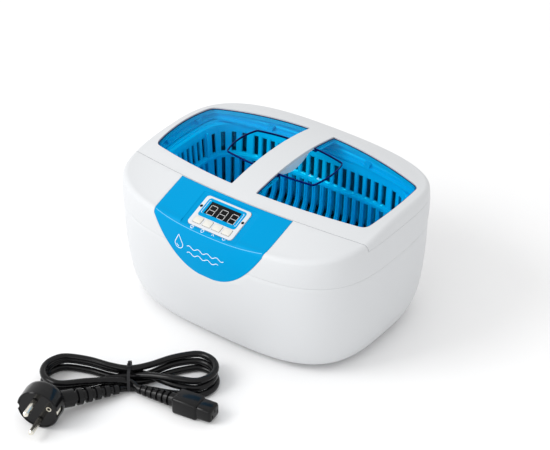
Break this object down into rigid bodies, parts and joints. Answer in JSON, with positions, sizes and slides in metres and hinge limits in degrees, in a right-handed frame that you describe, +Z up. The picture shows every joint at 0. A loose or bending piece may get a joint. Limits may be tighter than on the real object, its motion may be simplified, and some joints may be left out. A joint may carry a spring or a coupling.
{
  "type": "ultrasonic cleaner",
  "caption": "Benchtop ultrasonic cleaner with a rounded casing, lift-off windowed lid, slotted basket, steel tank, sloping control panel and a tied mains lead.",
  "frame": {"origin": "middle of the casing's footprint, on the surface the rubber feet stand on", "axes": "+X to the user's right along the length, +Z up, -Y towards the user and the control panel"},
  "size_m": [0.2636, 0.3869, 0.1454],
  "materials": {
    "casing_white": "satin moulded plastic, fine texture",
    "panel_blue": "smooth satin",
    "window_tint": "clear tinted plastic",
    "basket_blue": "glossy moulded plastic",
    "button_cream": "soft satin",
    "display_black": "gloss",
    "black_plastic": "matt",
    "black_rubber": "semi-matt flexible plastic",
    "stainless_steel": "brushed",
    "pin_metal": "nickel plated",
    "aluminium": "machined",
    "piezo_ceramic": "fired ceramic",
    "silicone": "matt silicone",
    "board_green": "solder mask"
  },
  "bodies": {
    "base": {"base_screw_1": "stainless_steel", "base_screw_2": "stainless_steel", "base_screw_3": "stainless_steel", "base_screw_4": "stainless_steel", "bottom_cover": "black_plastic", "button_switch_1": "black_plastic", "button_switch_2": "black_plastic", "button_switch_3": "black_plastic", "button_switch_4": "black_plastic", "control_bezel": "casing_white", "control_board": "board_green", "control_cable": "silicone", "control_chip": "black_plastic", "control_panel": "panel_blue", "display_lens": "display_black", "display_module": "black_plastic", "drive_heatsink": "aluminium", "drive_transformer": "black_plastic", "driver_board": "board_green", "fan_frame": "black_plastic", "filter_capacitor": "black_plastic", "foot_1": "black_rubber", "foot_2": "black_rubber", "foot_3": "black_rubber", "foot_4": "black_rubber", "heater_pad": "silicone", "inlet_socket": "black_plastic", "inlet_wire": "black_rubber", "lead_connector": "black_rubber", "lead_hank": "black_rubber", "lead_plug": "black_rubber", "lead_plug_pin_1": "pin_metal", "lead_plug_pin_2": "pin_metal", "lead_tie": "black_plastic", "left_transducer_back_mass": "stainless_steel", "left_transducer_front_mass": "aluminium", "left_transducer_piezo_stack": "piezo_ceramic", "lower_casing": "casing_white", "right_transducer_back_mass": "stainless_steel", "right_transducer_front_mass": "aluminium", "right_transducer_piezo_stack": "piezo_ceramic", "tank": "stainless_steel", "tank_gasket": "silicone", "upper_casing": "casing_white"},
    "lid": {"lid_frame": "casing_white", "lid_window": "window_tint", "lid_screw_1": "stainless_steel", "lid_screw_2": "stainless_steel", "lid_screw_3": "stainless_steel", "lid_screw_4": "stainless_steel"},
    "basket": {"basket": "basket_blue"},
    "fan": {"fan_rotor": "black_plastic"},
    "button_1": {"button_1": "button_cream"},
    "button_2": {"button_2": "button_cream"},
    "button_3": {"button_3": "button_cream"},
    "button_4": {"button_4": "button_cream"}
  },
  "joints": [
    {"name": "lid_lift", "type": "slide", "parent": "base", "child": "lid", "axis": [0, 0, 1], "range_m": [0, 0.15]},
    {"name": "basket_lift", "type": "slide", "parent": "base", "child": "basket", "axis": [0, 0, 1], "range_m": [0, 0.1]},
    {"name": "fan_spin", "type": "hinge", "parent": "base", "child": "fan", "pos_m": [0, 0.038, 0.0161], "axis": [0, 0, 1], "continuous": true},
    {"name": "button_1_press", "type": "slide", "parent": "base", "child": "button_1", "axis": [0, 0.3584, -0.9336], "range_m": [0, 0.0008], "stiffness_N_per_m": 300},
    {"name": "button_2_press", "type": "slide", "parent": "base", "child": "button_2", "axis": [0, 0.3584, -0.9336], "range_m": [0, 0.0008], "stiffness_N_per_m": 300},
    {"name": "button_3_press", "type": "slide", "parent": "base", "child": "button_3", "axis": [0, 0.3584, -0.9336], "range_m": [0, 0.0008], "stiffness_N_per_m": 300},
    {"name": "button_4_press", "type": "slide", "parent": "base", "child": "button_4", "axis": [0, 0.3584, -0.9336], "range_m": [0, 0.0008], "stiffness_N_per_m": 300}
  ],
  "couplings": [
    {"joint": "basket_lift", "follows": "lid_lift", "ratio": 0.5}
  ]
}
